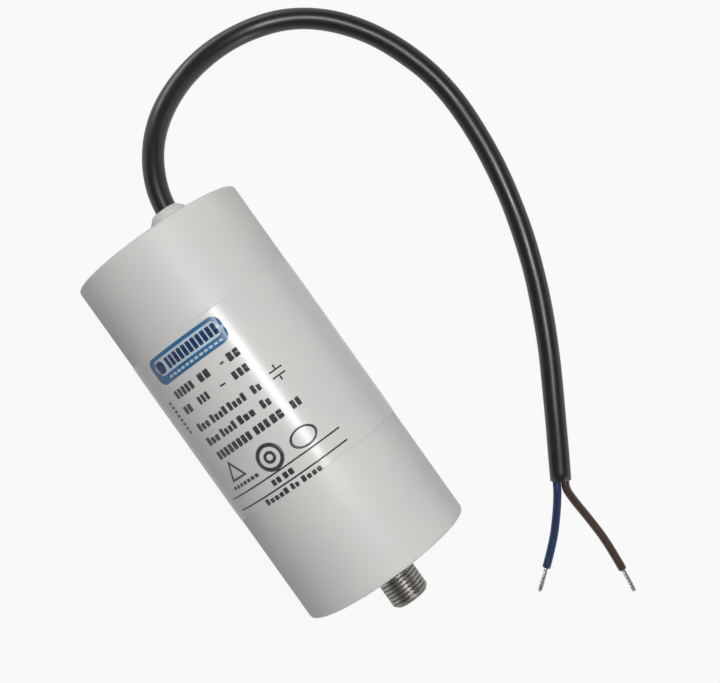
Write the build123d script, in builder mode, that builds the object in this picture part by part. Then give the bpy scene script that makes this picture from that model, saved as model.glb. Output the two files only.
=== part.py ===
from build123d import *
import math
import os

# Motor run capacitor: a plastic can with a fixing stud at one end and a two-core lead at the other.
# It lies on its side. X runs along the can towards the lead, Z is up and the table is at Z = 0.
# All sizes are in millimetres.

# Can
CAN_DIAMETER = 45.0
CAN_LENGTH = 96.0
CAN_WALL = 2.0
CAN_FLOOR = 2.5
BASE_EDGE_CHAMFER = 0.6
RIM_EDGE_CHAMFER = 0.6

# Fixing stud, with a neck and a hexagonal head moulded into a boss in the can's floor
STUD_DIAMETER = 10.0
STUD_REACH = 10.5
STUD_TIP_CHAMFER = 1.0
STUD_NECK_DIAMETER = 12.0
STUD_HEAD_FLATS = 16.0
STUD_HEAD_THICKNESS = 4.0
STUD_HEAD_BED = 3.0
STUD_HEAD_COVER = 1.5
BOSS_WALL = 2.5

# Lid, with its collar around the lead
LID_CLEARANCE = 0.1
LID_LEDGE = 0.7
LID_RECESS = 0.8
LID_FLANGE = 1.8
LID_PLATE = 2.2
SKIRT_DEPTH = 2.5
SKIRT_WALL = 1.4
OUTLET_SIDE = 5.2
OUTLET_DROP = 2.0
COLLAR_DIAMETER = 10.0
COLLAR_RISE = 5.0
COLLAR_FOOT_FLARE = 0.9
COLLAR_EDGE_CHAMFER = 1.6
COLLAR_MOUTH_FLARE = 0.42

# Printed film around the can
LABEL_WIDTH = 44.5
LABEL_FROM_RIM = 22.3
LABEL_ARC = 250.0
LABEL_THICKNESS = 0.12
LABEL_GLUE = 0.05

# Winding on its core tube, and the resin around them
CORE_TUBE_DIAMETER = 9.0
CORE_TUBE_BORE = 6.0
CORE_TUBE_PROUD = 1.0
RESIN_HEADSPACE = 0.5
RESIN_ABOVE_WINDING = 8.0
RESIN_BELOW_WINDING = 3.5
RESIN_AROUND_WINDING = 2.0

# Lead: a round sheath with two cores side by side
SHEATH_DIAMETER = 5.5
SHEATH_INSIDE_RIM = 5.0
CORE_DIAMETER = 2.15
CORE_SPACING = 2.2
STRANDS_DIAMETER = 1.1
BLUE_FIRST_RUN = 3.2
BROWN_FIRST_RUN = 2.2
STRANDS_REACH = 6.5
CLEAR_OF_TABLE = 0.05
CORNER_CUT = 0.25

# Cores inside the can: blue leans out to the near end of the winding, brown runs down the core tube
BLUE_STRAIGHT = 2.5
BLUE_END_HEIGHT = 1.0
BROWN_STRAIGHT = 2.75
BROWN_ENTRY_ABOVE_TUBE = 0.75
BROWN_END_PAST_TUBE = 0.3

CAN_RADIUS = CAN_DIAMETER / 2
CAVITY_RADIUS = CAN_RADIUS - CAN_WALL
LID_SEAT_RADIUS = CAVITY_RADIUS + LID_LEDGE
STUD_HEAD_RADIUS = STUD_HEAD_FLATS / math.sqrt(3)
BOSS_RADIUS = STUD_HEAD_RADIUS + BOSS_WALL
WINDING_RADIUS = CAVITY_RADIUS - RESIN_AROUND_WINDING

# Stations along the can, from the tip of the stud to the top of the collar
OVERALL_LENGTH = STUD_REACH + CAN_LENGTH + COLLAR_RISE
BASE_X = STUD_REACH - OVERALL_LENGTH / 2
FLOOR_X = BASE_X + CAN_FLOOR
HEAD_X = BASE_X + STUD_HEAD_BED
BOSS_X = HEAD_X + STUD_HEAD_THICKNESS + STUD_HEAD_COVER
RIM_X = BASE_X + CAN_LENGTH
COLLAR_X = RIM_X + COLLAR_RISE
LID_FACE_X = RIM_X - LID_RECESS
LEDGE_X = LID_FACE_X - LID_FLANGE
LID_UNDER_X = LID_FACE_X - LID_PLATE
SKIRT_X = LID_UNDER_X - SKIRT_DEPTH
SHEATH_END_X = RIM_X - SHEATH_INSIDE_RIM
RESIN_TOP_X = SKIRT_X - RESIN_HEADSPACE
WINDING_TOP_X = RESIN_TOP_X - RESIN_ABOVE_WINDING
WINDING_BOTTOM_X = BOSS_X + RESIN_BELOW_WINDING
LABEL_X = RIM_X - LABEL_FROM_RIM - LABEL_WIDTH

OUTLET_Y = -OUTLET_SIDE
OUTLET_Z = CAN_RADIUS - OUTLET_DROP
BLUE_Y = OUTLET_Y - CORE_SPACING / 2
BROWN_Y = OUTLET_Y + CORE_SPACING / 2
SHEATH_LYING_Z = SHEATH_DIAMETER / 2 + CLEAR_OF_TABLE
CORE_LYING_Z = CORE_DIAMETER / 2 + CLEAR_OF_TABLE

# Half sections are drawn on this plane, X along the can and Y outwards, and turned about its X axis
CAN_SECTION = Plane(origin=(0, 0, CAN_RADIUS), x_dir=(1, 0, 0), z_dir=(0, -1, 0))
CAN_AXIS = Axis((0, 0, CAN_RADIUS), (1, 0, 0))
OUTLET_SECTION = Plane(origin=(0, OUTLET_Y, OUTLET_Z), x_dir=(1, 0, 0), z_dir=(0, -1, 0))
OUTLET_AXIS = Axis((0, OUTLET_Y, OUTLET_Z), (1, 0, 0))


def across_can(x):
    """The plane across the can at x, facing along +X, centred on the can's axis."""
    return Plane(origin=(x, 0, CAN_RADIUS), x_dir=(0, 1, 0), z_dir=(1, 0, 0))


def with_corners_cut(points):
    """The same line with each corner cut off a quarter of the way along the runs beside it."""
    points = [Vector(*point) for point in points]
    cut = [points[0]]
    for start, end in zip(points, points[1:]):
        if start is not points[0]:
            cut.append(start + (end - start) * CORNER_CUT)
        if end is not points[-1]:
            cut.append(end + (start - end) * CORNER_CUT)
    cut.append(points[-1])
    return cut


def round_rod(points, diameter):
    """A round solid along straight runs that meet in mitred corners."""
    with BuildPart() as rod:
        with BuildLine() as route:
            Polyline(*points)
        with BuildSketch(Plane(origin=route.line @ 0, z_dir=route.line % 0)):
            Circle(diameter / 2)
        sweep(path=route.line, transition=Transition.RIGHT)
    return rod


def finish_piece(piece, name):
    """Labels a finished piece and writes it to its own file."""
    piece.part.label = name
    export_step(piece.part, f"parts/{name}.step")


os.makedirs("parts", exist_ok=True)

# Fixing stud: a shank with a chamfered tip, a neck flush with the can's base, and a head that can't turn
with BuildPart() as stud:
    with BuildSketch(across_can(BASE_X)):
        Circle(STUD_DIAMETER / 2)
    extrude(amount=-STUD_REACH)
    chamfer(stud.edges().sort_by(Axis.X)[0], length=STUD_TIP_CHAMFER)
    with BuildSketch(across_can(BASE_X)):
        Circle(STUD_NECK_DIAMETER / 2)
    extrude(amount=STUD_HEAD_BED)
    with BuildSketch(across_can(HEAD_X)):
        RegularPolygon(STUD_HEAD_FLATS / 2, 6, major_radius=False)
    extrude(amount=STUD_HEAD_THICKNESS)
finish_piece(stud, "stud")

# Can: one moulding, closed at the stud's end, with a stepped mouth for the lid
with BuildPart() as can:
    with BuildSketch(CAN_SECTION):
        with BuildLine():
            Polyline(
                (BASE_X, 0),
                (BASE_X, CAN_RADIUS),
                (RIM_X, CAN_RADIUS),
                (RIM_X, LID_SEAT_RADIUS),
                (LEDGE_X, LID_SEAT_RADIUS),
                (LEDGE_X, CAVITY_RADIUS),
                (FLOOR_X, CAVITY_RADIUS),
                (FLOOR_X, 0),
                close=True,
            )
        make_face()
    revolve(axis=CAN_AXIS)
    outer_edges = can.edges().filter_by(GeomType.CIRCLE).group_by(SortBy.RADIUS)[-1]
    chamfer(outer_edges.sort_by(Axis.X)[0], length=BASE_EDGE_CHAMFER)
    outer_edges = can.edges().filter_by(GeomType.CIRCLE).group_by(SortBy.RADIUS)[-1]
    chamfer(outer_edges.sort_by(Axis.X)[-1], length=RIM_EDGE_CHAMFER)
    with BuildSketch(across_can(BASE_X)):
        Circle(BOSS_RADIUS)
    extrude(amount=BOSS_X - BASE_X)
    with BuildSketch(across_can(BASE_X)):
        Circle(STUD_NECK_DIAMETER / 2)
    extrude(amount=STUD_HEAD_BED, mode=Mode.SUBTRACT)
    with BuildSketch(across_can(HEAD_X)):
        RegularPolygon(STUD_HEAD_FLATS / 2, 6, major_radius=False)
    extrude(amount=STUD_HEAD_THICKNESS, mode=Mode.SUBTRACT)
finish_piece(can, "can")

# Lid: a flange on the can's ledge, a skirt inside it, and a collar around the lead with a wide bevel
with BuildPart() as lid:
    with BuildSketch(across_can(LEDGE_X)):
        Circle(LID_SEAT_RADIUS - LID_CLEARANCE)
    extrude(amount=LID_FLANGE)
    with BuildSketch(across_can(SKIRT_X)):
        Circle(CAVITY_RADIUS - LID_CLEARANCE)
    extrude(amount=LEDGE_X - SKIRT_X)
    with BuildSketch(across_can(SKIRT_X)):
        Circle(CAVITY_RADIUS - LID_CLEARANCE - SKIRT_WALL)
    extrude(amount=SKIRT_DEPTH, mode=Mode.SUBTRACT)
    with BuildSketch(OUTLET_SECTION):
        with Locations(((SHEATH_END_X + COLLAR_X) / 2, COLLAR_DIAMETER / 4)):
            Rectangle(COLLAR_X - SHEATH_END_X, COLLAR_DIAMETER / 2)
    revolve(axis=OUTLET_AXIS)
    collar_foot = lid.edges().filter_by(GeomType.CIRCLE).filter_by(
        lambda edge: edge.radius < COLLAR_DIAMETER and abs(edge.center().X - LID_FACE_X) < LID_CLEARANCE
    )
    chamfer(collar_foot, length=COLLAR_FOOT_FLARE)
    collar_top = lid.edges().filter_by(GeomType.CIRCLE).sort_by(Axis.X)[-1]
    chamfer(collar_top, length=COLLAR_EDGE_CHAMFER)
    with BuildSketch(OUTLET_SECTION):
        with BuildLine():
            Polyline(
                (SHEATH_END_X, 0),
                (SHEATH_END_X, SHEATH_DIAMETER / 2),
                (RIM_X, SHEATH_DIAMETER / 2),
                (COLLAR_X, SHEATH_DIAMETER / 2 + COLLAR_MOUTH_FLARE),
                (COLLAR_X, 0),
                close=True,
            )
        make_face()
    revolve(axis=OUTLET_AXIS, mode=Mode.SUBTRACT)
finish_piece(lid, "lid")

# Printed film: a thin band around most of the can, open along the underside
film_start = math.radians(LABEL_ARC / 2)
film_outward = Vector(0, -math.sin(film_start), math.cos(film_start))
film_edge = Plane(origin=(0, 0, CAN_RADIUS), x_dir=(1, 0, 0), z_dir=Vector(1, 0, 0).cross(film_outward))
with BuildPart() as label_film:
    with BuildSketch(film_edge):
        with Locations((LABEL_X + LABEL_WIDTH / 2, CAN_RADIUS + LABEL_GLUE + LABEL_THICKNESS / 2)):
            Rectangle(LABEL_WIDTH, LABEL_THICKNESS)
    revolve(axis=CAN_AXIS, revolution_arc=-LABEL_ARC)
finish_piece(label_film, "label_film")


def ring_on_can_axis(start_x, end_x, outer_radius, bore_radius):
    """A plain ring about the can's axis, from start_x to end_x."""
    with BuildPart() as ring:
        with BuildSketch(across_can(start_x)):
            Circle(outer_radius)
            Circle(bore_radius, mode=Mode.SUBTRACT)
        extrude(amount=end_x - start_x)
    return ring


# Core tube, and the film wound on it
tube_bottom_x = WINDING_BOTTOM_X - CORE_TUBE_PROUD
tube_top_x = WINDING_TOP_X + CORE_TUBE_PROUD
core_tube = ring_on_can_axis(tube_bottom_x, tube_top_x, CORE_TUBE_DIAMETER / 2, CORE_TUBE_BORE / 2)
finish_piece(core_tube, "core_tube")
winding = ring_on_can_axis(WINDING_BOTTOM_X, WINDING_TOP_X, WINDING_RADIUS, CORE_TUBE_DIAMETER / 2)
finish_piece(winding, "winding")

# Blue core inside the can: it ends just above the winding, midway between the core tube and the edge
contact_radius = (CORE_TUBE_DIAMETER / 2 + WINDING_RADIUS) / 2
blue_inner_lead = round_rod(
    [
        (SHEATH_END_X, BLUE_Y, OUTLET_Z),
        (SHEATH_END_X - BLUE_STRAIGHT, BLUE_Y, OUTLET_Z),
        (WINDING_TOP_X + BLUE_END_HEIGHT, -contact_radius, OUTLET_Z),
    ],
    CORE_DIAMETER,
)
finish_piece(blue_inner_lead, "blue_inner_lead")

# Brown core inside the can: it runs down the core tube to the winding's far end
brown_inner_lead = round_rod(
    [
        (SHEATH_END_X, BROWN_Y, OUTLET_Z),
        (SHEATH_END_X - BROWN_STRAIGHT, BROWN_Y, OUTLET_Z),
        (tube_top_x + BROWN_ENTRY_ABOVE_TUBE, 0, CAN_RADIUS),
        (tube_bottom_x - BROWN_END_PAST_TUBE, 0, CAN_RADIUS),
    ],
    CORE_DIAMETER,
)
finish_piece(brown_inner_lead, "brown_inner_lead")

# Resin: fills the can from its floor to just below the lid, around everything inside
with BuildPart() as potting_resin:
    with BuildSketch(across_can(FLOOR_X)):
        Circle(CAVITY_RADIUS)
    extrude(amount=RESIN_TOP_X - FLOOR_X)
    with BuildSketch(across_can(FLOOR_X)):
        Circle(BOSS_RADIUS)
    extrude(amount=BOSS_X - FLOOR_X, mode=Mode.SUBTRACT)
    for piece in (core_tube, winding, blue_inner_lead, brown_inner_lead):
        add(piece.part, mode=Mode.SUBTRACT)
finish_piece(potting_resin, "potting_resin")

# Sheath of the lead: out of the collar, down to the table and round in a wide arc beside the can
sheath_route = [
    (SHEATH_END_X, OUTLET_Y, OUTLET_Z),
    (RIM_X + 5.25, OUTLET_Y, OUTLET_Z),
    (RIM_X + 15.45, -8.7, 19.4),
    (RIM_X + 23.85, -15.2, 16.2),
    (RIM_X + 30.05, -24.6, 11.4),
    (RIM_X + 33.55, -36.0, 6.4),
    (RIM_X + 33.55, -47.8, 3.1),
    (RIM_X + 29.65, -59.4, SHEATH_LYING_Z),
    (RIM_X + 21.45, -69.2, SHEATH_LYING_Z),
    (RIM_X + 9.45, -76.8, SHEATH_LYING_Z),
    (RIM_X - 7.75, -82.0, SHEATH_LYING_Z),
    (RIM_X - 30.75, -81.0, SHEATH_LYING_Z),
    (RIM_X - 53.25, -75.6, SHEATH_LYING_Z),
    (RIM_X - 73.75, -67.0, SHEATH_LYING_Z),
    (RIM_X - 91.75, -56.9, SHEATH_LYING_Z),
    (RIM_X - 108.15, -47.2, SHEATH_LYING_Z),
]
cable_sheath = round_rod(with_corners_cut(sheath_route), SHEATH_DIAMETER)
finish_piece(cable_sheath, "cable_sheath")

# The cores leave the sheath's end side by side and straight on
sheath_end = Vector(*sheath_route[-1])
sheath_along = (sheath_end - Vector(*sheath_route[-2])).normalized()
blue_side = sheath_along.cross(Vector(0, 0, 1)) * CORE_SPACING / 2
blue_start = sheath_end + blue_side
brown_start = sheath_end - blue_side

# Then they spread over the table to their stripped ends
blue_route = [
    tuple(blue_start),
    tuple(blue_start + sheath_along * BLUE_FIRST_RUN),
    (RIM_X - 115.15, -41.1, 1.7),
    (RIM_X - 120.45, -36.4, CORE_LYING_Z),
    (RIM_X - 124.85, -31.1, CORE_LYING_Z),
]
brown_route = [
    tuple(brown_start),
    tuple(brown_start + sheath_along * BROWN_FIRST_RUN),
    (RIM_X - 114.75, -47.1, 1.8),
    (RIM_X - 120.95, -47.6, CORE_LYING_Z),
    (RIM_X - 128.95, -47.9, CORE_LYING_Z),
    (RIM_X - 136.75, -47.1, CORE_LYING_Z),
]
blue_core = round_rod(with_corners_cut(blue_route), CORE_DIAMETER)
finish_piece(blue_core, "blue_core")
brown_core = round_rod(with_corners_cut(brown_route), CORE_DIAMETER)
finish_piece(brown_core, "brown_core")


def stripped_end(core_route):
    """Bare strands, from the core's end face straight on."""
    core_end = Vector(*core_route[-1])
    core_along = (core_end - Vector(*core_route[-2])).normalized()
    return round_rod([core_end, core_end + core_along * STRANDS_REACH], STRANDS_DIAMETER)


blue_strands = stripped_end(blue_route)
finish_piece(blue_strands, "blue_strands")
brown_strands = stripped_end(brown_route)
finish_piece(brown_strands, "brown_strands")

for name, tube, diameter in (
    ("sheath", cable_sheath, SHEATH_DIAMETER),
    ("blue core", blue_core, CORE_DIAMETER),
    ("brown core", brown_core, CORE_DIAMETER),
):
    section = math.pi * diameter**2 / 4
    print(name, "length", round(tube.part.volume / section, 1))
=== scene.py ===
# %% [markdown]
# # A motor run capacitor, lying on its side
#
# The object is a white plastic can about as long as a hand is wide, with a steel stud on one end and a
# black two-core lead out of the other. The CAD model is loaded first and stays a fixed frame: every
# piece made here goes where a CAD solid already is. X runs along the can towards the lead, Z is up and
# the table is at Z = 0. Blender works in metres, so sizes are written in millimetres and multiplied by
# MM.

# %% Load the frame
import bpy
import math
import numpy as np
from mathutils import Matrix, Vector


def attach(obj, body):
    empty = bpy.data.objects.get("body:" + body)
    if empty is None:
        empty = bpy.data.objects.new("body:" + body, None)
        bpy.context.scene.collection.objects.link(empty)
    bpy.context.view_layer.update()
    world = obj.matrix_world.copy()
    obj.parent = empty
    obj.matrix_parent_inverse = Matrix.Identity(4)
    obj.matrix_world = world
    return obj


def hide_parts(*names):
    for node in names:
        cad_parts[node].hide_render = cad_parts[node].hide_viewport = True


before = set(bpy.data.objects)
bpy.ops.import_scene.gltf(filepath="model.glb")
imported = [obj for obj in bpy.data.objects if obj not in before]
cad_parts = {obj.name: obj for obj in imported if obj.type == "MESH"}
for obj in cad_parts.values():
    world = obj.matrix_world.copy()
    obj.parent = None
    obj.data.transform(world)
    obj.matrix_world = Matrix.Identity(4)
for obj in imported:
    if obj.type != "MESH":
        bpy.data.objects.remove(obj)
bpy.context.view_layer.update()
MM = 0.001
SCENE = bpy.context.scene
print("CAD nodes:", sorted(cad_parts))

# %% [markdown]
# ## Camera
#
# The photographer stood over the table and looked straight down, with the can turned across the
# picture. A camera can be placed by hand, or worked out from known lines. Here the can's two round ends
# and its straight sides gave the camera's place, and the direction of the can in the picture gave its
# roll. The lens is fairly long, so the sides of the can nearly stay parallel.

# %% Place the camera
CAMERA_PLACE = Vector((7.10, -25.68, 330.88)) * MM
CAMERA_FORWARD = Vector((-0.0155, 0.0, -0.9999)).normalized()
CAMERA_UP_HINT = Vector((0.8151, -0.5791, -0.0127))
LENS_MM = 63.6

camera_data = bpy.data.cameras.new("camera")
camera_data.lens = LENS_MM
camera_data.sensor_width = 36.0
camera_data.sensor_fit = "HORIZONTAL"
camera_data.clip_start = 0.01
camera_data.clip_end = 10.0
camera = bpy.data.objects.new("camera", camera_data)
SCENE.collection.objects.link(camera)
camera_right = CAMERA_FORWARD.cross(CAMERA_UP_HINT).normalized()
camera_up = camera_right.cross(CAMERA_FORWARD)
camera_axes = Matrix((camera_right, camera_up, -CAMERA_FORWARD)).transposed()
camera.matrix_world = Matrix.Translation(CAMERA_PLACE) @ camera_axes.to_4x4()
SCENE.camera = camera
print("camera height in mm:", round(CAMERA_PLACE.z / MM), "lens:", LENS_MM)

# %% [markdown]
# ## From numbers to a mesh
#
# Nearly every piece below is a grid of points: rows along something and columns around it. One helper
# turns such a grid into a mesh, so that each piece only has to say where its points are. A modeller
# would otherwise extrude and scale rings by hand. Arrays are quicker, and every radius stays a number
# that can be changed.

# %% Turn a grid of points into a mesh
def grid_faces(rows, columns, around=True, rows_loop=False):
    """Corner numbers of the quads between neighbouring points of a grid, row by row."""
    index = np.arange(rows * columns).reshape(rows, columns)
    if around:
        index = np.concatenate([index, index[:, :1]], axis=1)
    if rows_loop:
        index = np.concatenate([index, index[:1]], axis=0)
    corners = (index[:-1, :-1], index[:-1, 1:], index[1:, 1:], index[1:, :-1])
    return np.stack(corners, axis=-1).reshape(-1, 4)


def signed_volume(vertices, triangles):
    """A sixth of the sum of a . (b x c) over the triangles. It is negative for a mesh turned inside out."""
    a, b, c = (vertices[triangles[:, corner]] for corner in range(3))
    return np.einsum("ij,ij->", a, np.cross(b, c)) / 6


# %% Close a mesh and make it a piece
def closed_mesh(name, grids, rows_loop=False, sharp_degrees=40):
    """One closed mesh out of grids of rings of points, each with the shape (rows, columns, 3).

    A ring's last column joins its first. Unless the rows loop too, each end is closed by a fan of
    triangles about the middle of its ring. Faces are turned to point outwards.
    """
    all_vertices, all_quads, all_triangles, start = [], [], [], 0
    for points in grids:
        rows, columns = points.shape[:2]
        vertices = points.reshape(-1, 3)
        quads = grid_faces(rows, columns, rows_loop=rows_loop)
        fans = np.empty((0, 3), dtype=int)
        if not rows_loop:
            first = np.arange(columns)
            last = first + (rows - 1) * columns
            middle = np.full(columns, len(vertices))
            vertices = np.vstack([vertices, points[0].mean(axis=0), points[-1].mean(axis=0)])
            start_fan = np.stack([np.roll(first, -1), first, middle], axis=1)
            end_fan = np.stack([last, np.roll(last, -1), middle + 1], axis=1)
            fans = np.vstack([start_fan, end_fan])
        triangles = np.vstack([quads[:, [0, 1, 2]], quads[:, [0, 2, 3]], fans])
        if signed_volume(vertices - vertices.mean(axis=0), triangles) < 0:
            quads, fans = quads[:, ::-1], fans[:, ::-1]
        all_vertices.append(vertices)
        all_quads.append(quads + start)
        all_triangles.append(fans + start)
        start += len(vertices)
    faces = np.vstack(all_quads).tolist() + np.vstack(all_triangles).tolist()
    mesh = bpy.data.meshes.new(name)
    mesh.from_pydata(np.vstack(all_vertices), [], faces)
    mesh.shade_smooth()
    mesh.set_sharp_from_angle(angle=math.radians(sharp_degrees))
    return mesh


def add_piece(name, mesh, material, slot, *replaced):
    """Puts a mesh in the scene as a piece that rides on the part and stands for the nodes it replaces."""
    piece = bpy.data.objects.new(name, mesh)
    SCENE.collection.objects.link(piece)
    mesh.materials.append(material)
    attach(piece, "root")
    if replaced:
        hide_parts(*replaced)
    print(name, "faces:", len(mesh.polygons))
    return piece


# %% [markdown]
# ## Materials: groups first
#
# Moulded plastic, soft cable plastic and plated metal share two effects. The first is fine grain: the
# surface is never quite smooth, which breaks up its highlights. The second is a slow mottle, a shade
# lighter here and darker there. Each effect is a node group, built once and placed in every material
# with its own numbers.

# %% A helper for node trees
def new_node(tree, kind, settings=None, **inputs):
    """Adds a node, sets its properties, and gives each input a value or a link from another node.

    An input is called by its name with _ for a space, or by i and its number.
    """
    node = tree.nodes.new(kind)
    for key, value in (settings or {}).items():
        setattr(node, key, value)
    for key, value in inputs.items():
        by_number = key[0] == "i" and key[1:].isdigit()
        socket = node.inputs[int(key[1:]) if by_number else key.replace("_", " ")]
        if isinstance(value, bpy.types.NodeSocket):
            tree.links.new(value, socket)
        else:
            socket.default_value = value
    return node


def new_group(name, inputs, outputs):
    """A shader node group whose outputs are single values, and its two end nodes."""
    group = bpy.data.node_groups.new(name, "ShaderNodeTree")
    for socket, kind, value in inputs:
        made = group.interface.new_socket(socket, in_out="INPUT", socket_type=kind)
        if value is not None:
            made.default_value = value
    for socket in outputs:
        group.interface.new_socket(socket, in_out="OUTPUT", socket_type="NodeSocketFloat")
    return group, group.nodes.new("NodeGroupInput"), group.nodes.new("NodeGroupOutput")


# %% Grain and mottle
def build_grain_group():
    """Height = fine noise at Grain Scale plus half as much at three times that scale, about 0 to 1."""
    group, given, result = new_group(
        "fine_grain",
        [("Vector", "NodeSocketVector", None), ("Grain Scale", "NodeSocketFloat", 3000.0)],
        ["Height"],
    )
    place, scale = given.outputs["Vector"], given.outputs["Grain Scale"]
    coarse = new_node(group, "ShaderNodeTexNoise", Vector=place, Scale=scale, Detail=3.0).outputs[0]
    finer = new_node(group, "ShaderNodeMath", {"operation": "MULTIPLY"}, i0=scale, i1=3.0).outputs[0]
    fine = new_node(group, "ShaderNodeTexNoise", Vector=place, Scale=finer, Detail=2.0).outputs[0]
    mixed = new_node(group, "ShaderNodeMath", {"operation": "MULTIPLY_ADD"}, i0=fine, i1=0.5, i2=coarse)
    group.links.new(mixed.outputs[0], result.inputs["Height"])
    return group


def build_mottle_group():
    """Mottle = slow noise with the values from 0.3 to 0.7 stretched to the whole range from 0 to 1."""
    group, given, result = new_group(
        "slow_mottle",
        [("Vector", "NodeSocketVector", None), ("Mottle Scale", "NodeSocketFloat", 60.0)],
        ["Mottle"],
    )
    place, scale = given.outputs["Vector"], given.outputs["Mottle Scale"]
    noise = new_node(group, "ShaderNodeTexNoise", Vector=place, Scale=scale, Detail=4.0).outputs[0]
    stretched = new_node(group, "ShaderNodeMapRange", Value=noise, From_Min=0.3, From_Max=0.7)
    group.links.new(stretched.outputs[0], result.inputs["Mottle"])
    return group


GRAIN = build_grain_group()
MOTTLE = build_mottle_group()
print("node groups:", GRAIN.name, MOTTLE.name)


# %% A material from grain and mottle
def blend(tree, share, first, second):
    """first + share (second - first), where each colour is a link or three numbers."""
    mixed = new_node(tree, "ShaderNodeMix", {"data_type": "RGBA"}, Factor=share)
    for socket, colour in ((mixed.inputs[6], first), (mixed.inputs[7], second)):
        if isinstance(colour, bpy.types.NodeSocket):
            tree.links.new(colour, socket)
        else:
            socket.default_value = (*colour, 1.0)
    return mixed.outputs[2]


def surface_material(
    name, light, dark, rough, rough_spread, grain, depth, mottle=60.0, metallic=0.0, shine=0.5
):
    """A Principled surface that the mottle takes from dark and rough to light and glossy.

    rough is the middle roughness and rough_spread how far the mottle moves it. grain is the grain's
    scale per metre and depth the bump's height in metres. shine sets how much light a smooth non-metal
    mirrors, and 0.5 is the usual plastic.
    """
    material = bpy.data.materials.new(name)
    material.use_nodes = True
    tree = material.node_tree
    shader = tree.nodes["Principled BSDF"]
    place = new_node(tree, "ShaderNodeTexCoord").outputs["Object"]
    slow = new_node(tree, "ShaderNodeGroup", {"node_tree": MOTTLE}, Vector=place, Mottle_Scale=mottle)
    fine = new_node(tree, "ShaderNodeGroup", {"node_tree": GRAIN}, Vector=place, Grain_Scale=grain)
    slow, fine = slow.outputs["Mottle"], fine.outputs["Height"]
    roughest, smoothest = rough + rough_spread, rough - rough_spread
    gloss = new_node(tree, "ShaderNodeMapRange", Value=slow, To_Min=roughest, To_Max=smoothest)
    bump = new_node(tree, "ShaderNodeBump", Height=fine, Distance=depth, Strength=1.0)
    tree.links.new(blend(tree, slow, dark, light), shader.inputs["Base Color"])
    tree.links.new(gloss.outputs[0], shader.inputs["Roughness"])
    tree.links.new(bump.outputs[0], shader.inputs["Normal"])
    shader.inputs["Metallic"].default_value = metallic
    shader.inputs["Specular IOR Level"].default_value = shine
    return material


# %% [markdown]
# ## The lead's line
#
# The lead leaves the lid, sinks to the table and lies in a wide arc. Its line is one NURBS curve
# through the air and along the table, with the CAD route's points as its control points. Blender works
# out the line itself, and the tube, the twist and the wires all follow the points that it gives back.

# %% Read a smooth line from Blender
LINE_STEPS = 16


def smooth_line(points, steps=LINE_STEPS):
    """Points along the NURBS curve of order 3 with the given control points, as Blender finds it."""
    curve = bpy.data.curves.new("line", "CURVE")
    curve.dimensions = "3D"
    curve.resolution_u = steps
    spline = curve.splines.new("NURBS")
    spline.points.add(len(points) - 1)
    spline.points.foreach_set("co", np.column_stack([points, np.ones(len(points))]).ravel())
    spline.order_u = 3
    spline.use_endpoint_u = True
    holder = bpy.data.objects.new("line", curve)
    mesh = bpy.data.meshes.new_from_object(holder)
    line = np.empty(len(mesh.vertices) * 3)
    mesh.vertices.foreach_get("co", line)
    bpy.data.meshes.remove(mesh)
    bpy.data.objects.remove(holder)
    bpy.data.curves.remove(curve)
    return line.reshape(-1, 3)


def along(line):
    """The distance from the line's start to each of its points, and the direction of the line there."""
    steps = np.linalg.norm(np.diff(line, axis=0), axis=1)
    travelled = np.concatenate([[0.0], np.cumsum(steps)])
    direction = np.gradient(line, axis=0)
    return travelled, direction / np.linalg.norm(direction, axis=1, keepdims=True)


def line_length(line):
    """The length of a line in metres."""
    return along(line)[0][-1]


# %% Carry a ring along a line
def carried(line, radius, angle):
    """Rings about a line: centre + radius (cos angle . side + sin angle . up).

    side is level and square to the line, and up is square to both. radius and angle are arrays of rows
    by columns, so a ring may be any shape and may turn as it goes.
    """
    direction = along(line)[1]
    side = np.cross(direction, (0.0, 0.0, 1.0))
    side /= np.linalg.norm(side, axis=1, keepdims=True)
    up = np.cross(side, direction)
    across = radius * np.cos(angle)
    above = radius * np.sin(angle)
    return line[:, None] + across[..., None] * side[:, None] + above[..., None] * up[:, None]


# %% [markdown]
# ## Sheath
#
# The sheath is soft black plastic, 5.5 mm across and half a millimetre thick, pressed around two
# twisted cores. It could be a curve with a round bevel, but that gives a solid rod. Here the ring is
# carried out along the line and back again inside, so the cut end shows the wall. The cores twist
# inside it, and the sheath shows it as a faint spiral: its radius rises and falls by a few hundredths of
# a millimetre as the angle turns with the length.

# %% Sheath route
RIM_X = 50.75
SHEATH_RADIUS = 2.75
SHEATH_LYING_Z = 2.8
SHEATH_ROUTE = MM * np.array([
    (RIM_X - 5.0, -5.2, 20.5),
    (RIM_X + 5.25, -5.2, 20.5),
    (RIM_X + 15.45, -8.7, 19.4),
    (RIM_X + 23.85, -15.2, 16.2),
    (RIM_X + 30.05, -24.6, 11.4),
    (RIM_X + 33.55, -36.0, 6.4),
    (RIM_X + 33.55, -47.8, 3.1),
    (RIM_X + 29.65, -59.4, SHEATH_LYING_Z),
    (RIM_X + 21.45, -69.2, SHEATH_LYING_Z),
    (RIM_X + 9.45, -76.8, SHEATH_LYING_Z),
    (RIM_X - 7.75, -82.0, SHEATH_LYING_Z),
    (RIM_X - 30.75, -81.0, SHEATH_LYING_Z),
    (RIM_X - 53.25, -75.6, SHEATH_LYING_Z),
    (RIM_X - 73.75, -67.0, SHEATH_LYING_Z),
    (RIM_X - 91.75, -56.9, SHEATH_LYING_Z),
    (RIM_X - 108.15, -47.2, SHEATH_LYING_Z),
])
sheath_line = smooth_line(SHEATH_ROUTE)
print("sheath length in mm:", round(line_length(sheath_line) / MM, 1))

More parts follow.
